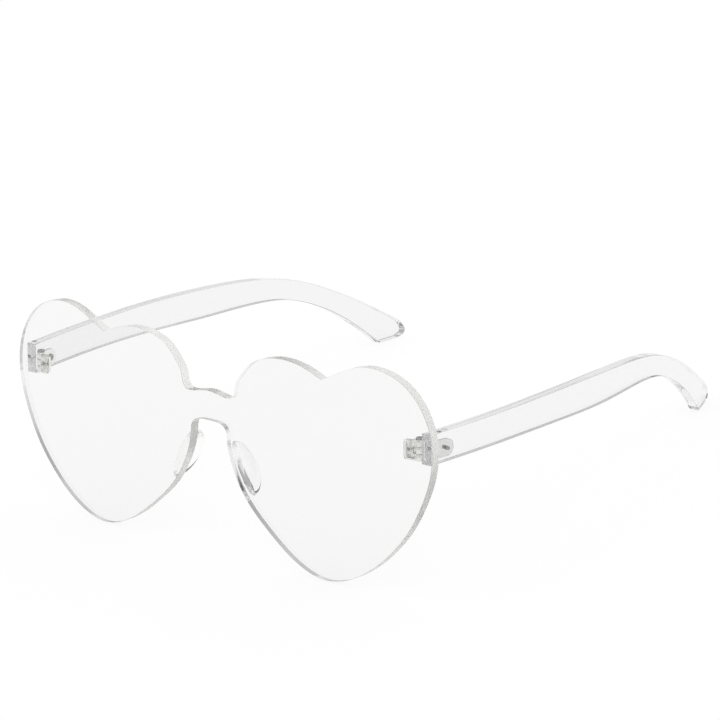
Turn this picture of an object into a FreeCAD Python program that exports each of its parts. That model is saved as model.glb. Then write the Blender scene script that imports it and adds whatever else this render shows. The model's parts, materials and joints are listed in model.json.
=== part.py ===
import FreeCAD, Part
import math
import os

# Clear heart shaped glasses: a curved one-piece lens, two nose pads and two folding temples.
# Everything is modelled upright first: the lens stands on the tips of its hearts at Z = 0, its front
# faces -Y and the temples run along +Y. The finished pieces are then laid down as the glasses lie on
# a table, on the heart tips and on the feet of the temples. The +X side is the wearer's left.

Vector = FreeCAD.Vector
ACROSS = Vector(1, 0, 0)
BACK = Vector(0, 1, 0)
UP = Vector(0, 0, 1)

SIZES = [
    # lens
    ("lens_width", 146.4),
    ("heart_height", 58.7),
    ("lens_thickness", 2.8),
    ("lens_radius", 873.0),
    ("bridge_half_width", 9.0),
    ("bridge_corner", 1.4),
    ("bridge_height", 7.3),
    ("bridge_rise", 0.7),
    ("nose_half_gap", 6.4),
    # nose pads
    ("pad_inset", 4.2),
    ("pad_drop", 11.5),
    ("pad_half_length", 7.7),
    ("pad_half_width", 1.8),
    ("pad_depth", 5.4),
    ("pad_tilt", 27.0),
    # temples
    ("temple_thickness", 3.2),
    ("temple_height", 8.4),
    ("temple_bow_radius", 289.0),
    ("temple_bow_y", 45.0),
    ("temple_edge_inset", 2.6),
    ("temple_reach", 143.0),
    ("temple_drop", 18.4),
    ("butt_gap", 0.25),
    ("foot_inset", 5.0),
    ("foot_length", 6.4),
    # hinges
    ("barrel_radius", 1.1),
    ("barrel_height", 5.6),
    ("barrel_gap", 0.25),
    ("barrel_room", 0.3),
    ("barrel_stand", 0.45),
    ("knuckle_gap", 0.08),
    ("pin_radius", 0.6),
    ("pin_clearance", 0.03),
    ("pin_head_radius", 0.95),
    ("pin_head_height", 0.5),
    # hinge leaves, blocks and their screws
    ("front_leaf_length", 2.3),
    ("front_leaf_height", 4.8),
    ("front_leaf_thickness", 0.9),
    ("leaf_corner", 0.7),
    ("block_thickness", 0.65),
    ("block_margin", 0.2),
    ("temple_leaf_length", 6.2),
    ("temple_leaf_height", 4.6),
    ("temple_leaf_thickness", 1.0),
    ("pocket_clearance", 0.1),
    ("screw_radius", 0.5),
    ("screw_clearance", 0.02),
    ("screw_head_radius", 0.95),
    ("screw_head_height", 0.32),
    ("screw_cover", 1.0),
    ("drive_length", 1.3),
    ("drive_width", 0.3),
    ("drive_depth", 0.2),
    ("overrun", 5.0),
]

# Half of the lens outline as shares: across, of half the lens width; up, of the heart's height.
CLEFT_SHARE = (0.524, 0.905)
OUTER_LOBE_SHARES = [
    (0.594, 0.947), (0.668, 0.986), (0.738, 1.0), (0.817, 0.986),
    (0.891, 0.942), (0.949, 0.867), (0.988, 0.767), (1.0, 0.658),
]
LOWER_SIDE_SHARES = [
    (0.989, 0.551), (0.953, 0.426), (0.902, 0.307), (0.830, 0.195),
    (0.753, 0.107), (0.675, 0.0445), (0.613, 0.013),
]
TIP_SHARE = (0.547, 0.0)
BRIDGE_TOP_SHARE = 0.733
HINGE_RISE_SHARE = 0.664

# Inner lobe: across, of the way from the bridge's end to the cleft; up, of the heart's height.
INNER_LOBE_SHARES = [
    (0.021, 0.802), (0.070, 0.842), (0.201, 0.911), (0.385, 0.950), (0.609, 0.960), (0.813, 0.942),
]
# Corner between bridge and inner lobe: inwards and upwards, of the corner's size.
BRIDGE_CORNER_SHARES = [(0.0, 1.0), (0.8, 0.0), (2.0, -0.14)]

# From the tip up to the nose: across, of the way from the tip to the nose gap; up, of the height at
# which the nose arch springs, itself a share of the arch's height.
NOSE_SIDE_SHARES = [
    (0.111, 0.012), (0.253, 0.065), (0.430, 0.177), (0.604, 0.324),
    (0.770, 0.490), (0.885, 0.660), (0.964, 0.840),
]
NOSE_SPRING_SHARE = 0.87
# Shoulder of the nose arch: across, of half the nose gap; up, of the arch's rise.
ARCH_SHOULDER_SHARE = (0.91, 0.68)

# Side view of a temple: along, of its reach; rise of its middle over the hinge, of the temple's drop;
# height, of the temple's height.
TEMPLE_SHARES = [
    (0.210, 0.095, 0.965),
    (0.364, 0.136, 1.0),
    (0.526, 0.152, 1.0),
    (0.645, 0.158, 0.85),
    (0.729, 0.090, 0.73),
    (0.806, -0.111, 0.75),
    (0.877, -0.402, 0.90),
]
# Front end of a temple: rise and height as above.
BUTT_SHARE = (0.038, 0.97)
# Round rear end of a temple: along and rise as above, on the top edge.
TIP_END_SHARES = [(0.935, -0.448), (0.975, -0.636), (0.997, -0.788), (1.0, -0.891)]

# How much of the temple leaf's thickness lies in its pocket, how far along it its screw sits, and how
# much of the hinge block's thickness the front screw bites into.
LEAF_SUNK_SHARE = 0.4
LEAF_SCREW_SHARE = 0.6
BLOCK_BITE_SHARE = 0.8

doc = FreeCAD.newDocument("heart_glasses")
sheet = doc.addObject("Spreadsheet::Sheet", "sizes")
for row, (alias, value) in enumerate(SIZES, start=1):
    sheet.set("A%d" % row, alias)
    sheet.set("B%d" % row, str(value))
    sheet.setAlias("B%d" % row, alias)
doc.recompute()


def size(alias):
    return float(sheet.get(alias))


def bind(thing, **formulas):
    for prop, formula in formulas.items():
        thing.setExpression(prop, formula)
    return thing


def move(x=0.0, y=0.0, z=0.0):
    return FreeCAD.Placement(Vector(x, y, z), FreeCAD.Rotation())


def turn(axis, angle):
    return FreeCAD.Placement(Vector(), FreeCAD.Rotation(axis, angle))


def box(name, length, width, height, place):
    thing = doc.addObject("Part::Box", name)
    bind(thing, Length=length, Width=width, Height=height)
    thing.Placement = place
    return thing


def cylinder(name, radius, height, place):
    thing = doc.addObject("Part::Cylinder", name)
    bind(thing, Radius=radius, Height=height)
    thing.Placement = place
    return thing


def join(name, pieces):
    thing = doc.addObject("Part::MultiFuse", name)
    thing.Shapes = pieces
    thing.Refine = True
    return thing


def overlap(name, base, tool):
    thing = doc.addObject("Part::Common", name)
    thing.Base = base
    thing.Tool = tool
    return thing


def cut(name, base, tool):
    thing = doc.addObject("Part::Cut", name)
    thing.Base = base
    thing.Tool = tool
    return thing


def round_edges(name, base, radius, wanted):
    doc.recompute()
    thing = doc.addObject("Part::Fillet", name)
    thing.Base = base
    thing.Edges = [(i, radius, radius) for i, edge in enumerate(base.Shape.Edges, start=1) if wanted(edge)]
    return thing


def smooth(points):
    curve = Part.BSplineCurve()
    curve.interpolate(points)
    return curve.toShape()


def both_sides(points):
    # The points of one half followed back along the other, from +X to -X.
    mirrored = [Vector(-point.x, point.y, point.z) for point in points if point.x > 0]
    return points + mirrored[::-1]


# Lens surfaces: both lie on upright cylinders about one axis, behind the lens.
half_width = size("lens_width") / 2
back_radius = size("lens_radius") - size("lens_thickness")
TALL = "sizes.heart_height + 2 * sizes.overrun"


def lens_back(x):
    return size("lens_radius") - math.sqrt(back_radius ** 2 - x ** 2)


def heart_point(share):
    return Vector(share[0] * half_width, 0, share[1] * size("heart_height"))


bridge_top = BRIDGE_TOP_SHARE * size("heart_height")
arch_top = bridge_top - size("bridge_height")
tip = heart_point(TIP_SHARE)


def outline_over_bridge():
    # From cleft to cleft: an inner lobe, the bridge's top edge and the other inner lobe.
    cleft = heart_point(CLEFT_SHARE)
    end, corner = size("bridge_half_width"), size("bridge_corner")
    lobe = [
        Vector(end + across * (cleft.x - end), 0, up * size("heart_height"))
        for across, up in INNER_LOBE_SHARES
    ]
    bend = [
        Vector(end - inward * corner, 0, bridge_top + up * corner)
        for inward, up in BRIDGE_CORNER_SHARES
    ]
    middle = Vector(0, 0, bridge_top + size("bridge_rise"))
    return smooth(both_sides([cleft] + lobe[::-1] + bend + [middle]))


def outline_round_below():
    # From cleft to cleft: round the outside of one heart, under the nose arch and back.
    hearts = [heart_point(share) for share in [CLEFT_SHARE] + OUTER_LOBE_SHARES + LOWER_SIDE_SHARES]
    spring = Vector(size("nose_half_gap"), 0, NOSE_SPRING_SHARE * arch_top)
    nose_side = [
        Vector(tip.x + across * (spring.x - tip.x), 0, up * spring.z)
        for across, up in NOSE_SIDE_SHARES
    ]
    across, up = ARCH_SHOULDER_SHARE
    shoulder = Vector(across * spring.x, 0, spring.z + up * (arch_top - spring.z))
    return smooth(both_sides(hearts + [tip] + nose_side + [spring, shoulder, Vector(0, 0, arch_top)]))


def upright_tube(name, outer, inner, x, y):
    # Upright cylinders taller than the glasses, one cut out of the other.
    place = move(x, y, -size("overrun"))
    outside = cylinder(name + "_outer", outer, TALL, place)
    inside = cylinder(name + "_inner", inner, TALL, place)
    return cut(name, outside, inside)


def behind_lens(name):
    # All the space behind the lens, for pieces that are bonded to its back.
    place = move(0, size("lens_radius"), -size("overrun"))
    return cylinder(name, "sizes.lens_radius - sizes.lens_thickness", TALL, place)


def front_lens():
    outline = Part.Wire([outline_over_bridge(), outline_round_below()])
    outline.translate(-size("overrun") * BACK)
    depth = lens_back(half_width) + 2 * size("overrun")
    prism = doc.addObject("Part::Feature", "lens_prism")
    prism.Shape = Part.Face(outline).extrude(depth * BACK)
    shell = upright_tube(
        "lens_shell", "sizes.lens_radius", "sizes.lens_radius - sizes.lens_thickness", 0, size("lens_radius")
    )
    return overlap("front_lens", prism, shell)


def nose_pad():
    # Half an egg, long side along the edge of the nose gap, its flat side on the lens.
    egg = doc.addObject("Part::Ellipsoid", "pad_egg")
    bind(
        egg,
        Radius1="sizes.pad_half_length",
        Radius2="sizes.pad_half_width",
        Radius3="sizes.pad_depth",
    )
    pad_x = size("nose_half_gap") + size("pad_inset")
    seat = move(pad_x, lens_back(pad_x), arch_top - size("pad_drop"))
    egg.Placement = seat * turn(BACK, -size("pad_tilt"))
    return overlap("nose_pad_left", egg, behind_lens("pad_seat"))


# Temple bow: an upright tube whose outer face meets the lens a little inside the lens's edge.
bow_y = size("temple_bow_y")
root_x = half_width - size("temple_edge_inset")
bow_x = root_x - math.sqrt(size("temple_bow_radius") ** 2 - bow_y ** 2)

# Hinge pin: upright, just inside the temple's inner face and behind the lens.
hinge_offset = size("barrel_radius") + size("barrel_gap")
hinge_stand = size("barrel_radius") + size("barrel_stand")
pin_reach = size("temple_bow_radius") - size("temple_thickness") - hinge_offset
hinge_y = lens_back(bow_x + math.sqrt(pin_reach ** 2 - bow_y ** 2)) + hinge_stand
hinge_x = bow_x + math.sqrt(pin_reach ** 2 - (hinge_y - bow_y) ** 2)
hinge_z = HINGE_RISE_SHARE * size("heart_height")
hinge_yaw = math.degrees(math.asin((hinge_y - bow_y) / pin_reach))
hinge_place = move(hinge_x, hinge_y, hinge_z)
leaf_place = hinge_place * turn(UP, hinge_yaw)

# Where the glasses touch the table: the back edge of each heart's tip and each temple's foot.
tip_back_y = lens_back(tip.x)
foot = Vector(0, size("temple_reach") - size("foot_inset"), hinge_z - size("temple_drop"))
lean = math.degrees(math.atan2(foot.z, foot.y - tip_back_y))


def temple_profile():
    # Closed side view of the temple in the YZ plane.
    reach, drop, height = size("temple_reach"), size("temple_drop"), size("temple_height")
    rise, tall = BUTT_SHARE
    butt_y = lens_back(root_x) + size("butt_gap")
    middle = [Vector(0, butt_y, hinge_z + rise * drop)]
    halves = [tall * height / 2]
    for along, rise, tall in TEMPLE_SHARES:
        middle.append(Vector(0, along * reach, hinge_z + rise * drop))
        halves.append(tall * height / 2)
    upper = [point + half * UP for point, half in zip(middle, halves)]
    lower = [point - half * UP for point, half in zip(middle, halves)]
    tip_end = [Vector(0, along * reach, hinge_z + rise * drop) for along, rise in TIP_END_SHARES]
    along_table = Vector(0, math.cos(math.radians(lean)), math.sin(math.radians(lean)))
    foot_start = foot - size("foot_length") / 2 * along_table
    foot_end = foot + size("foot_length") / 2 * along_table
    return Part.Wire([
        Part.LineSegment(lower[0], upper[0]).toShape(),
        smooth(upper + tip_end + [foot_end]),
        Part.LineSegment(foot_end, foot_start).toShape(),
        smooth([foot_start] + lower[::-1]),
    ])


def temple():
    side_view = doc.addObject("Part::Feature", "temple_side_view")
    side_view.Shape = Part.Face(temple_profile()).extrude(size("lens_width") * ACROSS)
    bow = upright_tube(
        "temple_bow", "sizes.temple_bow_radius", "sizes.temple_bow_radius - sizes.temple_thickness",
        bow_x, bow_y
    )
    bar = overlap("temple_bar", side_view, bow)
    return cut("temple_left", bar, leaf_pocket())


# Hinge parts are drawn with the pin at the origin. The temple's leaf lies along +Y beside it, the front
# leaf along -X.
leaf_start = size("barrel_radius") + size("barrel_room")
leaf_out = hinge_offset + LEAF_SUNK_SHARE * size("temple_leaf_thickness")
leaf_in = leaf_out - size("temple_leaf_thickness")
leaf_half = size("temple_leaf_height") / 2
leaf_nose_y = leaf_start + size("temple_leaf_length") - leaf_half
leaf_screw_y = leaf_start + LEAF_SCREW_SHARE * size("temple_leaf_length")
temple_screw_length = hinge_offset + size("temple_thickness") - size("screw_cover") - leaf_in
face_out = turn(BACK, 90)
LEAF_STRAIGHT = "sizes.temple_leaf_length - sizes.temple_leaf_height / 2"


def leaf_pocket():
    # Room for the leaf in the temple's inner face, and the hole for its screw.
    gap = size("pocket_clearance")
    slot = box(
        "pocket_slot", "%r" % leaf_out, LEAF_STRAIGHT + " + sizes.pocket_clearance",
        "sizes.temple_leaf_height + 2 * sizes.pocket_clearance",
        leaf_place * move(0, leaf_start - gap, -leaf_half - gap)
    )
    nose = cylinder(
        "pocket_nose", "sizes.temple_leaf_height / 2 + sizes.pocket_clearance", "%r" % leaf_out,
        leaf_place * move(0, leaf_nose_y, 0) * face_out
    )
    hole = cylinder(
        "pocket_hole", "sizes.screw_radius + sizes.screw_clearance", "%r" % temple_screw_length,
        leaf_place * move(leaf_in, leaf_screw_y, 0) * face_out
    )
    return join("leaf_pocket", [slot, nose, hole])


knuckle = (size("barrel_height") - 2 * size("knuckle_gap")) / 3
barrel_foot = -size("barrel_height") / 2
KNUCKLE = "(sizes.barrel_height - 2 * sizes.knuckle_gap) / 3"


def pin_bore(name):
    return cylinder(
        name, "sizes.pin_radius + sizes.pin_clearance", "sizes.barrel_height + 2 * sizes.overrun",
        move(z=barrel_foot - size("overrun"))
    )


def screw_hole(name, place):
    return cylinder(
        name, "sizes.screw_radius + sizes.screw_clearance", "2 * sizes.overrun",
        place * move(z=-size("overrun"))
    )


def temple_hinge_leaf():
    # Plate with a round rear end, and the middle knuckle on a short arm.
    plate = box(
        "leaf_plate", "sizes.temple_leaf_thickness", LEAF_STRAIGHT, "sizes.temple_leaf_height",
        move(leaf_in, leaf_start, -leaf_half)
    )
    nose = cylinder(
        "leaf_nose", "sizes.temple_leaf_height / 2", "sizes.temple_leaf_thickness",
        move(leaf_in, leaf_nose_y, 0) * face_out
    )
    middle = cylinder("leaf_knuckle", "sizes.barrel_radius", KNUCKLE, move(z=-knuckle / 2))
    arm = box(
        "leaf_arm", "sizes.barrel_radius + sizes.barrel_gap - sizes.pocket_clearance",
        "2 * sizes.barrel_radius + sizes.barrel_room", KNUCKLE, move(z=-knuckle / 2)
    )
    body = join("temple_leaf_body", [plate, nose, middle, arm])
    bored = cut("temple_leaf_bored", body, pin_bore("temple_leaf_bore"))
    hole = screw_hole("temple_leaf_hole", move(leaf_in, leaf_screw_y, 0) * face_out)
    return cut("temple_hinge_leaf_left", bored, hole)


front_leaf_end = -leaf_start - size("front_leaf_length")
front_leaf_face = size("block_thickness") - hinge_stand
front_leaf_back = front_leaf_face + size("front_leaf_thickness")
front_half = size("front_leaf_height") / 2
front_screw_x = -leaf_start - size("front_leaf_length") / 2
front_screw_length = size("front_leaf_thickness") + BLOCK_BITE_SHARE * size("block_thickness")


def nose_side_corner(edge):
    # Edges that run along Y on the side of a plate that is turned to the nose.
    runs_back = abs(edge.tangentAt(edge.FirstParameter).y) > 0.9
    return runs_back and edge.CenterOfMass.x < front_screw_x


def front_plate(name, length, thickness, height, place):
    # Upright plate beside the barrel with rounded corners towards the nose.
    plate = box(name + "_plate", length, thickness, height, place)
    return round_edges(name + "_rounded", plate, size("leaf_corner"), nose_side_corner)


def front_hinge_leaf():
    # Plate on the hinge block with the top and bottom knuckles.
    plate = front_plate(
        "front_leaf", "sizes.front_leaf_length", "sizes.front_leaf_thickness", "sizes.front_leaf_height",
        move(front_leaf_end, front_leaf_face, -front_half)
    )
    pieces = [plate]
    for where, foot_z in (("low", barrel_foot), ("high", -barrel_foot - knuckle)):
        pieces.append(cylinder("front_knuckle_" + where, "sizes.barrel_radius", KNUCKLE, move(z=foot_z)))
        pieces.append(box(
            "front_arm_" + where, "sizes.barrel_radius + sizes.barrel_room", "sizes.front_leaf_thickness",
            KNUCKLE, move(-leaf_start, front_leaf_face, foot_z)
        ))
    bored = cut("front_leaf_bored", join("front_leaf_body", pieces), pin_bore("front_leaf_bore"))
    hole = screw_hole("front_leaf_hole", move(front_screw_x) * turn(ACROSS, 90))
    return cut("front_hinge_leaf_left", bored, hole)


def hinge_block():
    # Clear block between the lens and the front leaf.
    margin = size("block_margin")
    front = front_leaf_face - size("block_thickness") - size("overrun")
    plate = front_plate(
        "block", "sizes.front_leaf_length + sizes.block_margin", "sizes.block_thickness + sizes.overrun",
        "sizes.front_leaf_height + 2 * sizes.block_margin",
        move(front_leaf_end - margin, front, -front_half - margin)
    )
    hole = cylinder(
        "block_hole", "sizes.screw_radius + sizes.screw_clearance", "%r" % front_screw_length,
        move(front_screw_x, front_leaf_back, 0) * turn(ACROSS, 90)
    )
    drilled = cut("block_drilled", plate, hole)
    drilled.Placement = hinge_place
    return overlap("hinge_block_left", drilled, behind_lens("block_seat"))


def cross_recess(name):
    # Two crossed slots in the top of a screw's head.
    half_long, half_slot = size("drive_length") / 2, size("drive_width") / 2
    floor = size("screw_head_height") - size("drive_depth")
    along = box(
        name + "_along", "sizes.drive_length", "sizes.drive_width", "sizes.overrun",
        move(-half_long, -half_slot, floor)
    )
    across = box(
        name + "_across", "sizes.drive_width", "sizes.drive_length", "sizes.overrun",
        move(-half_slot, -half_long, floor)
    )
    return join(name, [along, across])


def screw(name, length):
    # Seated at the origin under its head, which points along +Z.
    head = cylinder(name + "_head", "sizes.screw_head_radius", "sizes.screw_head_height", move())
    shank = cylinder(name + "_shank", "sizes.screw_radius", "%r" % length, move(z=-length))
    body = join(name + "_body", [head, shank])
    return cut(name, body, cross_recess(name + "_recess"))


def hinge_screw():
    # Slotted head on the barrel, shank through all three knuckles.
    top = -barrel_foot
    shank = cylinder("pin_shank", "sizes.pin_radius", "sizes.barrel_height", move(z=barrel_foot))
    head = cylinder("pin_head", "sizes.pin_head_radius", "sizes.pin_head_height", move(z=top))
    slot = box(
        "pin_slot", "4 * sizes.pin_head_radius", "sizes.drive_width", "sizes.overrun",
        move(-2 * size("pin_head_radius"), -size("drive_width") / 2,
             top + size("pin_head_height") - size("drive_depth"))
    )
    return cut("hinge_screw_left", join("pin_body", [shank, head]), slot)


# Each left piece with its place in the upright glasses.
lens = front_lens()
left_pieces = [
    (nose_pad(), move()),
    (hinge_block(), move()),
    (front_hinge_leaf(), hinge_place),
    (screw("front_leaf_screw_left", front_screw_length),
     hinge_place * move(front_screw_x, front_leaf_back, 0) * turn(ACROSS, -90)),
    (hinge_screw(), hinge_place),
    (temple(), move()),
    (temple_hinge_leaf(), leaf_place),
    (screw("temple_leaf_screw_left", temple_screw_length),
     leaf_place * move(leaf_in, leaf_screw_y, 0) * turn(BACK, -90)),
]
doc.recompute()

# Lay the upright glasses down: lean them back onto the temples' feet, with the tips of the hearts at
# Z = 0, and centre them front to back.
laid = turn(ACROSS, -lean)
lens.Placement = laid
for piece, place in left_pieces:
    piece.Placement = laid * place
doc.recompute()
extent = FreeCAD.BoundBox()
for piece in [lens] + [piece for piece, place in left_pieces]:
    extent.add(piece.Shape.optimalBoundingBox(False, False))
table = laid.multVec(Vector(0, tip_back_y, 0)).z
settled = move(0, -extent.Center.y, -table) * laid
lens.Placement = settled
for piece, place in left_pieces:
    piece.Placement = settled * place

# The -X pieces mirror the +X ones.
nodes = [lens]
for piece, place in left_pieces:
    twin = doc.addObject("Part::Mirroring", piece.Name.replace("_left", "_right"))
    twin.Source = piece
    twin.Normal = ACROSS
    nodes += [piece, twin]
doc.recompute()

for thing in doc.Objects:
    if "Invalid" in thing.State or "Error" in thing.State:
        raise RuntimeError("failed to build: " + thing.Name)
for node in nodes:
    node.Label = node.Name
    if node.Shape.isNull() or not node.Shape.isValid() or len(node.Shape.Solids) != 1:
        raise RuntimeError("not one valid solid: " + node.Name)

os.makedirs("parts", exist_ok=True)
for node in nodes:
    node.Shape.exportStep(os.path.join("parts", node.Label + ".step"))

pin = settled.multVec(hinge_place.Base)
pin_axis = settled.Rotation.multVec(UP)
print("upright hinge pin at", hinge_place.Base)
print("hinge pin at", pin, "along", pin_axis, "lean", lean)
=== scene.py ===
import bpy
import json
import math
import numpy as np
from mathutils import Matrix, Vector


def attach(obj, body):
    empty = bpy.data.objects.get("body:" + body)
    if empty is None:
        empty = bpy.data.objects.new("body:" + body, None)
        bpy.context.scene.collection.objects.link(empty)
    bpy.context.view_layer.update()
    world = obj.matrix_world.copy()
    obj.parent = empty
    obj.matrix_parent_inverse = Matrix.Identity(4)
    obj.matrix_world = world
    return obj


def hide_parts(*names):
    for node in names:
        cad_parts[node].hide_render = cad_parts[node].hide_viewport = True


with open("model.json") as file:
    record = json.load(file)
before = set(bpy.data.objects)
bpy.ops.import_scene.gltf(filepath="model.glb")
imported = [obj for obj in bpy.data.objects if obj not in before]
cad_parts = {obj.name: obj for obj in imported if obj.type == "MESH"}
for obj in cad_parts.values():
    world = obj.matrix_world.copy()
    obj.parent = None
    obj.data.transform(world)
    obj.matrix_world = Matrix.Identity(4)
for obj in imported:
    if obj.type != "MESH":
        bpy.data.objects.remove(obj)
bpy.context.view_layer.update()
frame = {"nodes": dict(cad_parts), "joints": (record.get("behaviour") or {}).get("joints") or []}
bpy.ops.object.select_all(action="DESELECT")
scene = bpy.context.scene
scene.view_settings.view_transform = "Standard"
print("frame loaded with", len(frame["nodes"]), "nodes")


# lens, temples and pads are shaped upright, with the heart tips at z 0 and the lens front at y 0,
# and are then laid down as the glasses lie on the table
leftHinge = frame["joints"][0]
pinAxis = Vector(leftHinge["axis"])
standUp = Matrix.Rotation(math.atan2(pinAxis.y, pinAxis.z), 4, "X")
lensPoints = [standUp @ vertex.co for vertex in frame["nodes"]["front_lens"].data.vertices]
lensCorner = Vector((0, min(point.y for point in lensPoints), min(point.z for point in lensPoints)))
layDown = standUp.inverted() @ Matrix.Translation(lensCorner)


class Channel:
    # one output of a node, so that shader maths can be written out in Python
    def __init__(self, paint, socket):
        self.paint = paint
        self.socket = socket

    def maths(self, operation, first, second):
        return self.paint.node("ShaderNodeMath", {"operation": operation}, {0: first, 1: second})

    def __add__(self, other):
        return self.maths("ADD", self, other)

    def __radd__(self, other):
        return self.maths("ADD", other, self)

    def __rsub__(self, other):
        return self.maths("SUBTRACT", other, self)

    def __mul__(self, other):
        return self.maths("MULTIPLY", self, other)

    def __rmul__(self, other):
        return self.maths("MULTIPLY", other, self)

    def __pow__(self, other):
        return self.maths("POWER", self, other)


class Paint:
    # a node tree with one way of adding nodes to it
    def __init__(self, owner):
        owner.use_nodes = True
        self.tree = owner.node_tree
        self.tree.nodes.clear()

    def node(self, kind, settings={}, inputs={}, output=0):
        made = self.tree.nodes.new(kind)
        for name, value in settings.items():
            setattr(made, name, value)
        for name, value in inputs.items():
            if isinstance(value, Channel):
                self.tree.links.new(value.socket, made.inputs[name])
            else:
                made.inputs[name].default_value = value
        return Channel(self, made.outputs[output]) if made.outputs else None


# how finely each pattern breaks up
noiseDetail = {"haze": 4, "ripple": 2, "brush": 4, "cloud": 3}


def objectNoise(paint, scale, detail, stretch=(1, 1, 1)):
    place = paint.node("ShaderNodeTexCoord", {}, {}, "Object")
    stretched = paint.node("ShaderNodeMapping", {}, {"Vector": place, "Scale": stretch})
    return paint.node("ShaderNodeTexNoise", {}, {"Vector": stretched, "Scale": scale, "Detail": detail})


def clearPlastic(name, look):
    material = bpy.data.materials.new(name)
    paint = Paint(material)
    haze = objectNoise(paint, look["hazeScale"], noiseDetail["haze"])
    ripple = objectNoise(paint, look["rippleScale"], noiseDetail["ripple"])
    bump = paint.node("ShaderNodeBump", {}, {
        "Strength": look["rippleStrength"], "Distance": look["rippleHeight"], "Height": ripple})
    roughness = look["roughness"] + look["hazeRoughness"] * haze
    if "cutRoughness" in look:
        # the cut edge of a sheet is duller than its two faces
        facing = paint.node("ShaderNodeTexCoord", {}, {}, "Normal")
        across = paint.node("ShaderNodeVectorMath", {"operation": "DOT_PRODUCT"},
                            {0: facing, 1: look["sheetAxis"]}, "Value")
        roughness = roughness + look["cutRoughness"] * (1 - across * across) ** look["cutFalloff"]
    shader = paint.node("ShaderNodeBsdfPrincipled", {}, {
        "Base Color": (*look["colour"], 1),
        "Roughness": roughness,
        "IOR": look["ior"],
        "Transmission Weight": 1.0,
        "Normal": bump,
    })
    body = paint.node("ShaderNodeVolumeAbsorption", {}, {
        "Color": (*look["bodyColour"], 1), "Density": look["bodyDensity"]})
    paint.node("ShaderNodeOutputMaterial", {}, {"Surface": shader, "Volume": body})
    return material


def hingeMetal(name, look):
    material = bpy.data.materials.new(name)
    paint = Paint(material)
    brushing = objectNoise(paint, look["brushScale"], noiseDetail["brush"], look["brushStretch"])
    cloud = objectNoise(paint, look["cloudScale"], noiseDetail["cloud"])
    colour = paint.node("ShaderNodeMix", {"data_type": "RGBA"}, {
        "Factor": cloud, "A": (*look["dark"], 1), "B": (*look["light"], 1)}, "Result")
    bump = paint.node("ShaderNodeBump", {}, {
        "Strength": look["brushStrength"], "Distance": look["brushHeight"], "Height": brushing})
    shader = paint.node("ShaderNodeBsdfPrincipled", {}, {
        "Base Color": colour,
        "Metallic": 1.0,
        "Roughness": look["roughness"] + look["brushRoughness"] * brushing,
        "Normal": bump,
    })
    paint.node("ShaderNodeOutputMaterial", {}, {"Surface": shader})
    return material


lensPlastic = clearPlastic("lens plastic", {
    "colour": (0.936, 0.936, 0.936), "ior": 1.52, "bodyColour": (0.3, 0.26, 0.0), "bodyDensity": 0.9,
    "roughness": 0.0, "hazeScale": 60, "hazeRoughness": 0.02,
    "rippleScale": 40, "rippleHeight": 0.0002, "rippleStrength": 0.02,
    "cutRoughness": 0.2, "cutFalloff": 4, "sheetAxis": layDown.to_3x3() @ Vector((0, 1, 0)),
})
padPlastic = clearPlastic("pad plastic", {
    "colour": (0.985, 0.985, 0.985), "ior": 1.41, "bodyColour": (0.3, 0.26, 0.1), "bodyDensity": 0.4,
    "roughness": 0.05, "hazeScale": 200, "hazeRoughness": 0.05,
    "rippleScale": 150, "rippleHeight": 0.0002, "rippleStrength": 0.03,
})
templePlastic = clearPlastic("temple plastic", {
    "colour": (0.912, 0.91, 0.92), "ior": 1.49, "bodyColour": (0.3, 0.3, 0.3), "bodyDensity": 2.0,
    "roughness": 0.01, "hazeScale": 90, "hazeRoughness": 0.04,
    "rippleScale": 120, "rippleHeight": 0.0003, "rippleStrength": 0.05,
})
leafMetal = hingeMetal("hinge leaf metal", {
    "light": (0.92, 0.92, 0.9), "dark": (0.74, 0.74, 0.71), "cloudScale": 900,
    "roughness": 0.06, "brushScale": 2500, "brushStretch": (1, 0.1, 1), "brushRoughness": 0.1,
    "brushHeight": 0.00002, "brushStrength": 0.25,
})
# screws: the steel's own grey, darkened well below the leaf metal as painted shade for the screw
# recesses
screwSteelWithPaintedShade = hingeMetal("screw metal with painted shade", {
    "light": (0.46, 0.46, 0.45), "dark": (0.24, 0.24, 0.24), "cloudScale": 1500,
    "roughness": 0.1, "brushScale": 3000, "brushStretch": (1, 1, 0.2), "brushRoughness": 0.14,
    "brushHeight": 0.00002, "brushStrength": 0.25,
})
print("materials mixed")


def smoothThrough(points, step):
    # natural cubic spline through the points, read off again at even steps
    knots = np.array(points, float)
    run = np.concatenate([[0], np.cumsum(np.linalg.norm(np.diff(knots, axis=0), axis=1))])
    gaps = np.diff(run)
    slopes = np.diff(knots, axis=0) / gaps[:, None]
    matrix = np.eye(len(run))
    right = np.zeros_like(knots)
    for i in range(1, len(run) - 1):
        matrix[i, i - 1:i + 2] = gaps[i - 1], 2 * (gaps[i - 1] + gaps[i]), gaps[i]
        right[i] = 6 * (slopes[i] - slopes[i - 1])
    bends = np.linalg.solve(matrix, right)
    places = np.linspace(0, run[-1], max(2, round(run[-1] / step) + 1))
    part = np.clip(np.searchsorted(run, places, "right") - 1, 0, len(gaps) - 1)
    after = (places - run[part])[:, None]
    before = (run[part + 1] - places)[:, None]
    gap = gaps[part][:, None]
    curve = (bends[part] * before ** 3 + bends[part + 1] * after ** 3) / (6 * gap)
    curve += (knots[part] / gap - bends[part] * gap / 6) * before
    curve += (knots[part + 1] / gap - bends[part + 1] * gap / 6) * after
    return [tuple(point) for point in curve]


# in degrees: edges sharper than the first are rounded, and edges flatter than the second shade smooth
edgeAngles = {"rounded": 50, "smooth": 35}


def makeActive(piece):
    bpy.ops.object.select_all(action="DESELECT")
    piece.select_set(True)
    bpy.context.view_layer.objects.active = piece


def applyModifier(piece, kind, **settings):
    makeActive(piece)
    modifier = piece.modifiers.new(kind.lower(), kind)
    for name, value in settings.items():
        setattr(modifier, name, value)
    bpy.ops.object.modifier_apply(modifier=modifier.name)


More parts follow.
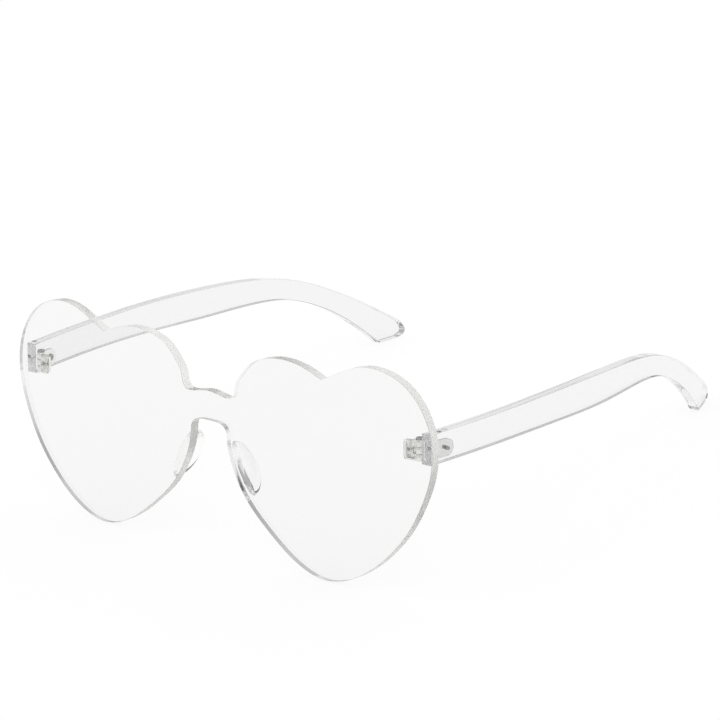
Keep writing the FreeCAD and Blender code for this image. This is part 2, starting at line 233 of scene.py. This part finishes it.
def faceOutwards(piece):
    makeActive(piece)
    bpy.ops.object.mode_set(mode="EDIT")
    bpy.ops.mesh.select_all(action="SELECT")
    bpy.ops.mesh.normals_make_consistent(inside=False)
    bpy.ops.object.mode_set(mode="OBJECT")


def moveEveryVertex(piece, mapping):
    for vertex in piece.data.vertices:
        vertex.co = mapping(*vertex.co)
    piece.data.update()
    faceOutwards(piece)


def cutPlate(name, outline, thickness, strips, edgeRound, roundSteps):
    # flat plate of the outline in x and y, thick in z, cut in upright strips so that it can be bent
    bpy.ops.object.select_all(action="DESELECT")
    bpy.ops.mesh.primitive_circle_add(vertices=len(outline), fill_type="NGON")
    plate = bpy.context.object
    plate.name = plate.data.name = name
    for vertex, (x, y) in zip(plate.data.vertices, outline):
        vertex.co = (x, y, 0)
    bpy.ops.object.mode_set(mode="EDIT")
    for x in strips:
        bpy.ops.mesh.select_all(action="SELECT")
        bpy.ops.mesh.bisect(plane_co=(x, 0, 0), plane_no=(1, 0, 0))
    bpy.ops.mesh.select_all(action="SELECT")
    bpy.ops.mesh.extrude_region_move(TRANSFORM_OT_translate={"value": (0, 0, thickness)})
    bpy.ops.object.mode_set(mode="OBJECT")
    faceOutwards(plate)
    if edgeRound:
        applyModifier(plate, "BEVEL", width=edgeRound, segments=roundSteps, limit_method="ANGLE",
                      angle_limit=math.radians(edgeAngles["rounded"]))
    return plate


def finishPiece(piece, material, body, nodes):
    # smooth shading, material, and the place that the piece takes among the CAD parts
    makeActive(piece)
    bpy.ops.object.shade_smooth_by_angle(angle=math.radians(edgeAngles["smooth"]))
    applyModifier(piece, "WEIGHTED_NORMAL", keep_sharp=True)
    piece.data.materials.clear()
    piece.data.materials.append(material)
    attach(piece, body)
    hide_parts(*nodes)
    bpy.ops.object.select_all(action="DESELECT")


# one-piece lens: shares run across half the width and up the height of a heart
lens = {
    "halfWidth": 0.0732, "heartHeight": 0.0587, "thickness": 0.0028, "radius": 0.873,
    "edgeRound": 0.0003, "roundSteps": 3, "outlineStep": 0.0006, "stripWidth": 0.0016,
    "steepSides": [(0.0058, 0.007), (0.0085, 0.0105)],  # no cuts here, where the outline runs upright
    "cleft": (0.524, 0.905),
    "outerLobe": [(0.594, 0.947), (0.668, 0.986), (0.738, 1.0), (0.817, 0.986),
                  (0.891, 0.942), (0.949, 0.867), (0.988, 0.767), (1.0, 0.658)],
    "lowerSide": [(0.989, 0.551), (0.953, 0.426), (0.902, 0.307), (0.830, 0.195),
                  (0.753, 0.107), (0.675, 0.0445), (0.613, 0.013)],
    "tip": (0.547, 0.0),
    "bridgeTop": 0.733, "bridgeHeight": 0.0073, "bridgeRise": 0.0007,
    "bridgeEnd": 0.009, "bridgeCorner": 0.0014,
    "innerLobe": [(0.813, 0.942), (0.609, 0.960), (0.385, 0.950),
                  (0.201, 0.911), (0.070, 0.842), (0.021, 0.802)],
    "cornerBend": [(0.0, 1.0), (0.8, 0.0), (2.0, -0.14)],
    "noseGap": 0.0064, "noseSpring": 0.87, "archShoulder": (0.91, 0.68),
    "noseSide": [(0.111, 0.012), (0.253, 0.065), (0.430, 0.177), (0.604, 0.324),
                 (0.770, 0.490), (0.885, 0.660), (0.964, 0.840)],
}
bridgeTop = lens["bridgeTop"] * lens["heartHeight"]
archTop = bridgeTop - lens["bridgeHeight"]


def lensFace(x, depth):
    # how far back the bent lens lies, at a depth behind its front
    return lens["radius"] - math.sqrt((lens["radius"] - depth) ** 2 - x ** 2)


def heartPoint(share):
    return share[0] * lens["halfWidth"], share[1] * lens["heartHeight"]


def bothSides(points):
    return points + [(-x, z) for x, z in points[::-1] if x > 0]


def lensOutline():
    cleft, tip = heartPoint(lens["cleft"]), heartPoint(lens["tip"])
    end, corner = lens["bridgeEnd"], lens["bridgeCorner"]
    over = [cleft]
    over += [(end + x * (cleft[0] - end), z * lens["heartHeight"]) for x, z in lens["innerLobe"]]
    over += [(end - x * corner, bridgeTop + z * corner) for x, z in lens["cornerBend"]]
    over += [(0, bridgeTop + lens["bridgeRise"])]
    spring = (lens["noseGap"], lens["noseSpring"] * archTop)
    below = [cleft] + [heartPoint(share) for share in lens["outerLobe"] + lens["lowerSide"]] + [tip]
    below += [(tip[0] + x * (spring[0] - tip[0]), z * spring[1]) for x, z in lens["noseSide"]]
    across, up = lens["archShoulder"]
    below += [spring, (across * spring[0], spring[1] + up * (archTop - spring[1])), (0, archTop)]
    top = smoothThrough(bothSides(over), lens["outlineStep"])
    bottom = smoothThrough(bothSides(below), lens["outlineStep"])
    return top[:-1] + bottom[::-1][:-1]


def makeLens():
    count = round(2 * lens["halfWidth"] / lens["stripWidth"])
    strips = np.linspace(-lens["halfWidth"], lens["halfWidth"], count + 1)[1:-1]
    for steepFrom, steepTo in lens["steepSides"]:
        strips = [x for x in strips if not steepFrom < abs(x) < steepTo]
    piece = cutPlate("clear_heart_lens", lensOutline(), lens["thickness"], strips,
                     lens["edgeRound"], lens["roundSteps"])
    moveEveryVertex(piece, lambda x, z, depth: layDown @ Vector((x, lensFace(x, depth), z)))
    finishPiece(piece, lensPlastic, "front", ["front_lens"])


makeLens()
print("lens cut and bent")


# temples: shares of the reach along them, of the drop above the hinge, and of their height
temple = {
    "thickness": 0.0032, "height": 0.0084, "bowRadius": 0.289, "bowMiddle": 0.045,
    "edgeInset": 0.0026, "reach": 0.143, "drop": 0.0184, "hingeRise": 0.664, "buttGap": 0.00025,
    "footInset": 0.005, "footLength": 0.0064,
    "edgeRound": 0.0009, "roundSteps": 5, "outlineStep": 0.0006, "stripWidth": 0.0016,
    "butt": (0.038, 0.97), "buttSteps": 12,
    "side": [(0.210, 0.095, 0.965), (0.364, 0.136, 1.0), (0.526, 0.152, 1.0), (0.645, 0.158, 0.85),
             (0.729, 0.090, 0.73), (0.806, -0.111, 0.75), (0.877, -0.402, 0.90)],
    "tipEnd": [(0.935, -0.448), (0.975, -0.636), (0.997, -0.788), (1.0, -0.891)],
}
hingeZ = temple["hingeRise"] * lens["heartHeight"]
rootX = lens["halfWidth"] - temple["edgeInset"]
bowX = rootX - math.sqrt(temple["bowRadius"] ** 2 - temple["bowMiddle"] ** 2)
buttY = lensFace(rootX, lens["thickness"]) + temple["buttGap"]


def bowFace(y, depth):
    # how far out the bowed temple lies, at a depth behind its outer face
    return bowX + math.sqrt((temple["bowRadius"] - depth) ** 2 - (y - temple["bowMiddle"]) ** 2)


def templeOutline():
    reach, drop, height = temple["reach"], temple["drop"], temple["height"]
    rise, tall = temple["butt"]
    middle = [(buttY, hingeZ + rise * drop, tall * height / 2)]
    for along, rise, tall in temple["side"]:
        middle.append((along * reach, hingeZ + rise * drop, tall * height / 2))
    upper = [(y, z + half) for y, z, half in middle]
    lower = [(y, z - half) for y, z, half in middle]
    tipEnd = [(along * reach, hingeZ + rise * drop) for along, rise in temple["tipEnd"]]
    foot = Vector((reach - temple["footInset"], hingeZ - drop))
    alongTable = Vector((pinAxis.z, pinAxis.y)) * temple["footLength"] / 2
    footStart, footEnd = tuple(foot - alongTable), tuple(foot + alongTable)
    top = smoothThrough(upper + tipEnd + [footEnd], temple["outlineStep"])
    bottom = smoothThrough([footStart] + lower[::-1], temple["outlineStep"])
    steps = temple["buttSteps"]
    butt = [tuple(Vector(lower[0]).lerp(Vector(upper[0]), i / steps)) for i in range(1, steps)]
    return top + bottom + butt


# rounded pocket in each temple's inner face for the hinge leaf, measured from the hinge pin
leafPocket = {
    "start": 0.0013, "noseAt": 0.0053, "halfHeight": 0.0024, "noseSteps": 24,
    "mouthAt": 0.0006, "depth": 0.00115,
}
pin = layDown.inverted() @ Vector(leftHinge["pos_m"])
pinYaw = math.atan2(pin.y - temple["bowMiddle"], pin.x - bowX)


def besidePin(side, out, back, up):
    # a place given from the hinge pin: outwards through the temple, back along it, and up
    mirror = 1 if side == "left" else -1
    turned = Matrix.Rotation(pinYaw, 3, "Z") @ Vector((out, back, up)) + pin
    return layDown @ Vector((mirror * turned.x, turned.y, turned.z))


def cutLeafPocket(piece, side):
    start, nose, half = leafPocket["start"], leafPocket["noseAt"], leafPocket["halfHeight"]
    steps = leafPocket["noseSteps"]
    angles = [math.pi * (i / steps - 0.5) for i in range(steps + 1)]
    roundEnd = [(nose + half * math.cos(angle), half * math.sin(angle)) for angle in angles]
    slot = [(start, -half)] + roundEnd + [(start, half)]
    cutter = cutPlate("pocket cutter", slot, leafPocket["depth"], [], 0, 0)
    moveEveryVertex(cutter, lambda back, up, out: besidePin(side, leafPocket["mouthAt"] + out, back, up))
    applyModifier(piece, "BOOLEAN", object=cutter, operation="DIFFERENCE", solver="EXACT")
    bpy.data.objects.remove(cutter)


def makeTemple(side):
    strips = np.arange(buttY + temple["stripWidth"], temple["reach"], temple["stripWidth"])
    piece = cutPlate("clear_temple_" + side, templeOutline(), temple["thickness"], strips,
                     temple["edgeRound"], temple["roundSteps"])
    mirror = 1 if side == "left" else -1
    moveEveryVertex(piece, lambda y, z, depth: layDown @ Vector((mirror * bowFace(y, depth), y, z)))
    cutLeafPocket(piece, side)
    finishPiece(piece, templePlastic, side + "_temple", ["temple_" + side])


for side in ("left", "right"):
    makeTemple(side)
print("temples cut and bent")


# nose pads: half eggs on the back of the lens
nosePad = {
    "inset": 0.0042, "drop": 0.0115, "tilt": 27, "bondGap": 0.00003,
    "halfLength": 0.0077, "halfWidth": 0.0018, "depth": 0.0054,
    "segments": 64, "rings": 40, "rimRound": 0.0003, "rimSteps": 3,
}


def makeNosePad(side):
    mirror = 1 if side == "left" else -1
    x = lens["noseGap"] + nosePad["inset"]
    behindLens = lensFace(x, lens["thickness"]) + nosePad["bondGap"]
    seat = Vector((mirror * x, behindLens, archTop - nosePad["drop"]))
    bpy.ops.object.select_all(action="DESELECT")
    # an egg with one pole towards the lens: that half goes, and its middle ring is the rim on the lens
    bpy.ops.mesh.primitive_uv_sphere_add(
        segments=nosePad["segments"], ring_count=nosePad["rings"], radius=1, location=seat,
        rotation=(-math.pi / 2, -mirror * math.radians(nosePad["tilt"]), mirror * x / lens["radius"]),
        scale=(nosePad["halfWidth"], nosePad["halfLength"], nosePad["depth"]))
    piece = bpy.context.object
    piece.name = piece.data.name = "clear_nose_pad_" + side
    bpy.ops.object.mode_set(mode="EDIT")
    bpy.ops.mesh.select_mode(type="FACE")
    bpy.ops.mesh.select_all(action="DESELECT")
    bpy.ops.object.mode_set(mode="OBJECT")
    for face in piece.data.polygons:
        face.select = face.center.z < 0
    bpy.ops.object.transform_apply(location=True, rotation=True, scale=True)
    bpy.ops.object.mode_set(mode="EDIT")
    bpy.ops.mesh.delete(type="FACE")
    bpy.ops.mesh.select_mode(type="EDGE")
    bpy.ops.mesh.select_non_manifold()
    bpy.ops.mesh.edge_face_add()
    bpy.ops.object.mode_set(mode="OBJECT")
    faceOutwards(piece)
    applyModifier(piece, "BEVEL", width=nosePad["rimRound"], segments=nosePad["rimSteps"],
                  limit_method="ANGLE", angle_limit=math.radians(edgeAngles["rounded"]))
    moveEveryVertex(piece, lambda x, y, z: layDown @ Vector((x, y, z)))
    finishPiece(piece, padPlastic, "front", ["nose_pad_" + side])


for side in ("left", "right"):
    makeNosePad(side)
print("nose pads set")


# hinge pieces: the CAD shapes with their edges broken
hinge = {
    "edgeSteps": 2, "brokenAngle": 40, "flatAngle": 1, "mergeDistance": 0.000002,
    # node, body, slot, material, width of the broken edge
    "pieces": [
        ("hinge_block", "front", "clear_plastic", padPlastic, 0.00008),
        ("front_hinge_leaf", "front", "hinge_metal", leafMetal, 0.00006),
        ("front_leaf_screw", "front", "screw_steel", screwSteelWithPaintedShade, 0.00005),
        ("hinge_screw", "front", "screw_steel", screwSteelWithPaintedShade, 0.00005),
        ("temple_hinge_leaf", "temple", "hinge_metal", leafMetal, 0.00006),
        ("temple_leaf_screw", "temple", "screw_steel", screwSteelWithPaintedShade, 0.00005),
    ],
}


def breakEdges(node, body, material, width):
    source = frame["nodes"][node]
    piece = bpy.data.objects.new("finished_" + node, source.data.copy())
    scene.collection.objects.link(piece)
    makeActive(piece)
    bpy.ops.object.mode_set(mode="EDIT")
    bpy.ops.mesh.select_all(action="SELECT")
    bpy.ops.mesh.customdata_custom_splitnormals_clear()
    bpy.ops.mesh.remove_doubles(threshold=hinge["mergeDistance"])
    bpy.ops.mesh.dissolve_limited(angle_limit=math.radians(hinge["flatAngle"]))
    bpy.ops.object.mode_set(mode="OBJECT")
    faceOutwards(piece)
    applyModifier(piece, "BEVEL", width=width, segments=hinge["edgeSteps"], limit_method="ANGLE",
                  angle_limit=math.radians(hinge["brokenAngle"]))
    finishPiece(piece, material, body, [node])


for side in ("left", "right"):
    for node, body, slot, material, width in hinge["pieces"]:
        rides = side + "_temple" if body == "temple" else body
        breakEdges(node + "_" + side, rides, material, width)
print("hinges finished")


# white table in a white room, with black and grey cards that draw the edges of the clear pieces
studio = {
    "floorSize": 6.0, "floorDrop": 0.0002, "floorGlow": 0.9,
    "roomLight": 1.0, "lampPower": 0.6, "lampSize": 0.7, "lampPlace": (-0.2, 0.1, 1.1),
    "lightBounces": 48, "ceilingHeight": 1.5, "ceilingSize": 3.4, "ceilingShade": 0.5,
    "cardDistance": 1.5,
    # name, azimuth from and to, elevation from and to, shade
    "cards": [
        ("right_back_low_card", 40, 60, 0, 20, 0.75),
        ("back_right_low_card", 60, 80, 0, 20, 0.4),
        ("back_card", 80, 120, 0, 20, 0.0),
        ("back_left_card", 120, 140, 0, 20, 0.55),
        ("left_back_card", 140, 170, 0, 20, 0.0),
        ("left_card", 170, 200, 0, 20, 0.0),
        ("left_front_card", 200, 230, 0, 20, 0.6),
        ("front_card", 230, 280, 0, 20, 0.8),
        ("right_front_card", 280, 320, 0, 20, 0.7),
        ("right_high_card", 320, 360, 20, 40, 0.0),
        ("right_back_high_card", 0, 40, 20, 40, 0.8),
        ("back_right_high_card", 40, 80, 20, 40, 0.4),
        ("back_high_card", 80, 120, 20, 40, 0.6),
        ("left_high_card", 160, 200, 20, 40, 0.0),
    ],
}


def glowing(paint, shade):
    return paint.node("ShaderNodeEmission", {}, {"Color": (shade, shade, shade, 1), "Strength": 1.0})


def makeFloor():
    bpy.ops.object.select_all(action="DESELECT")
    bpy.ops.mesh.primitive_plane_add(size=studio["floorSize"], location=(0, 0, -studio["floorDrop"]))
    floor = bpy.context.object
    floor.name = "white_table"
    material = bpy.data.materials.new("white table")
    paint = Paint(material)
    matt = paint.node("ShaderNodeBsdfDiffuse", {}, {"Color": (1, 1, 1, 1)})
    glow = glowing(paint, 1.0)
    both = paint.node("ShaderNodeMixShader", {}, {0: studio["floorGlow"], 1: matt, 2: glow})
    paint.node("ShaderNodeOutputMaterial", {}, {"Surface": both})
    floor.data.materials.append(material)


def makeRoom():
    world = bpy.data.worlds.new("white room")
    scene.world = world
    paint = Paint(world)
    camera, gloss, through = (
        paint.node("ShaderNodeLightPath", {}, {}, kind)
        for kind in ("Is Camera Ray", "Is Glossy Ray", "Is Transmission Ray"))
    white = (1, 1, 1, 1)
    light = paint.node("ShaderNodeBackground", {}, {"Color": white, "Strength": studio["roomLight"]})
    backdrop = paint.node("ShaderNodeBackground", {}, {"Color": white, "Strength": 1.0})
    both = paint.node("ShaderNodeMixShader", {}, {0: camera + gloss + through, 1: light, 2: backdrop})
    paint.node("ShaderNodeOutputWorld", {}, {"Surface": both})


def placeCard(name, size, location, rotation, shade):
    # seen in reflections and through the clear pieces only
    bpy.ops.object.select_all(action="DESELECT")
    bpy.ops.mesh.primitive_plane_add(size=1, location=location, rotation=rotation)
    card = bpy.context.object
    card.name = name
    card.scale = (*size, 1)
    material = bpy.data.materials.new(name)
    paint = Paint(material)
    paint.node("ShaderNodeOutputMaterial", {}, {"Surface": glowing(paint, shade)})
    card.data.materials.append(material)
    card.visible_camera = card.visible_diffuse = card.visible_shadow = False


def makeCards():
    far = studio["cardDistance"]
    for name, azimuthFrom, azimuthTo, elevationFrom, elevationTo, shade in studio["cards"]:
        middle, half = (azimuthFrom + azimuthTo) / 2, (azimuthTo - azimuthFrom) / 2
        low, high = (far * math.tan(math.radians(angle)) for angle in (elevationFrom, elevationTo))
        turn = math.radians(middle)
        size = (2 * far * math.tan(math.radians(half)), high - low)
        place = (far * math.cos(turn), far * math.sin(turn), (low + high) / 2)
        placeCard(name, size, place, (math.pi / 2, 0, turn + math.pi / 2), shade)
    ceiling = (studio["ceilingSize"], studio["ceilingSize"])
    overhead = (0, 0, studio["ceilingHeight"])
    placeCard("ceiling_card", ceiling, overhead, (0, 0, 0), studio["ceilingShade"])


def makeLamp():
    bpy.ops.object.light_add(type="AREA", location=studio["lampPlace"])
    lamp = bpy.context.object
    lamp.name = "top softbox"
    lamp.data.shape = "SQUARE"
    lamp.data.size = studio["lampSize"]
    lamp.data.energy = studio["lampPower"]


makeFloor()
makeRoom()
makeLamp()
makeCards()
scene.cycles.max_bounces = scene.cycles.glossy_bounces = studio["lightBounces"]
scene.cycles.transmission_bounces = studio["lightBounces"]
print("studio lit")


# camera at the photograph's angle, rolled a little because the glasses lean on the table
view = {
    "location": (0.661543, -0.722004, 0.412434), "aim": (0.017624, -0.026129, 0.040734),
    "roll": -6.369, "focalLength": 192.55, "sensorWidth": 36, "clipNear": 0.01, "clipFar": 20,
}


def makeCamera():
    bpy.ops.object.camera_add(location=view["location"])
    camera = bpy.context.object
    toward = Vector(view["aim"]) - camera.location
    level = toward.to_track_quat("-Z", "Y").to_matrix().to_4x4()
    rolled = level @ Matrix.Rotation(math.radians(view["roll"]), 4, "Z")
    camera.rotation_euler = rolled.to_euler()
    camera.data.sensor_width = view["sensorWidth"]
    camera.data.lens = view["focalLength"]
    camera.data.clip_start = view["clipNear"]
    camera.data.clip_end = view["clipFar"]
    scene.camera = camera


makeCamera()
print("camera placed")
